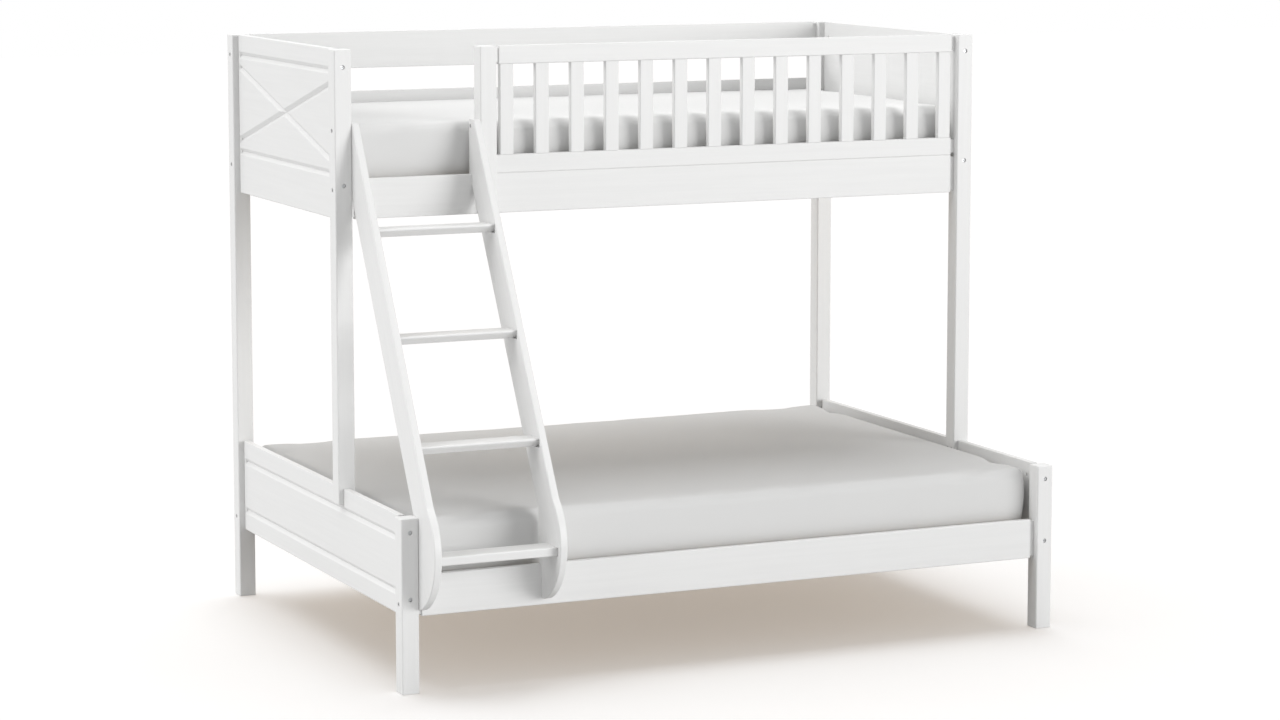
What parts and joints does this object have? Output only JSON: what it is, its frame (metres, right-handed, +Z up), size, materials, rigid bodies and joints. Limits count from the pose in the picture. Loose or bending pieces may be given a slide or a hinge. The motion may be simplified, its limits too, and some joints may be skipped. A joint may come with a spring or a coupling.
{
  "type": "triple bunk bed",
  "caption": "Bunk bed with a single bunk over a double one, crossed-groove end panels, a slatted guard and a slanted ladder with round feet.",
  "frame": {"origin": "on the floor, under the middle of the whole outline, ladder foot included", "axes": "+X along the bed, with the ladder at the -X end; the ladder side faces -Y and the closed back faces +Y; +Z up from the floor"},
  "size_m": [2.106, 1.629, 1.78],
  "materials": {
    "white_lacquer": "satin white lacquer over pine, the grain faintly visible",
    "bare_slats": "planed bare pine",
    "beech_dowel": "fluted beech",
    "webbing": "woven polyester tape",
    "zinc_steel": "zinc-plated steel",
    "mattress_fabric": "matt white cotton cover, pulled smooth"
  },
  "bodies": {
    "frame": {"back_guard_middle_board": "white_lacquer", "back_guard_top_board": "white_lacquer", "back_left_post": "white_lacquer", "back_right_post": "white_lacquer", "centre_beam_hangers": "zinc_steel", "frame_bolts": "zinc_steel", "frame_dowels": "beech_dowel", "frame_square_nuts": "zinc_steel", "guard_baluster_01": "white_lacquer", "guard_baluster_02": "white_lacquer", "guard_baluster_03": "white_lacquer", "guard_baluster_04": "white_lacquer", "guard_baluster_05": "white_lacquer", "guard_baluster_06": "white_lacquer", "guard_baluster_07": "white_lacquer", "guard_baluster_08": "white_lacquer", "guard_baluster_09": "white_lacquer", "guard_baluster_10": "white_lacquer", "guard_baluster_11": "white_lacquer", "guard_baluster_12": "white_lacquer", "guard_baluster_13": "white_lacquer", "guard_baluster_14": "white_lacquer", "guard_bottom_rail": "white_lacquer", "guard_top_rail": "white_lacquer", "ladder_bolts": "zinc_steel", "ladder_entry_post": "white_lacquer", "ladder_foot_screws": "zinc_steel", "ladder_left_stringer": "white_lacquer", "ladder_right_stringer": "white_lacquer", "ladder_step_1": "white_lacquer", "ladder_step_2": "white_lacquer", "ladder_step_3": "white_lacquer", "ladder_step_4": "white_lacquer", "lower_back_ledger": "bare_slats", "lower_back_rail": "white_lacquer", "lower_centre_beam": "bare_slats", "lower_front_ledger": "bare_slats", "lower_front_left_leg": "white_lacquer", "lower_front_rail": "white_lacquer", "lower_front_right_leg": "white_lacquer", "lower_left_end_panel": "white_lacquer", "lower_right_end_panel": "white_lacquer", "lower_slat_straps": "webbing", "lower_slats": "bare_slats", "post_foot_screws": "zinc_steel", "upper_back_ledger": "bare_slats", "upper_back_rail": "white_lacquer", "upper_front_ledger": "bare_slats", "upper_front_left_post": "white_lacquer", "upper_front_rail": "white_lacquer", "upper_front_right_post": "white_lacquer", "upper_left_end_panel": "white_lacquer", "upper_right_end_panel": "white_lacquer", "upper_slat_straps": "webbing", "upper_slats": "bare_slats"},
    "upper_mattress": {"upper_mattress": "mattress_fabric"},
    "lower_mattress": {"lower_mattress": "mattress_fabric"}
  },
  "joints": [
    {"name": "upper_mattress_lift", "type": "slide", "parent": "frame", "child": "upper_mattress", "axis": [0, 0, 1], "range_m": [0, 0.42]},
    {"name": "lower_mattress_lift", "type": "slide", "parent": "frame", "child": "lower_mattress", "axis": [0, 0, 1], "range_m": [0, 0.02]}
  ]
}
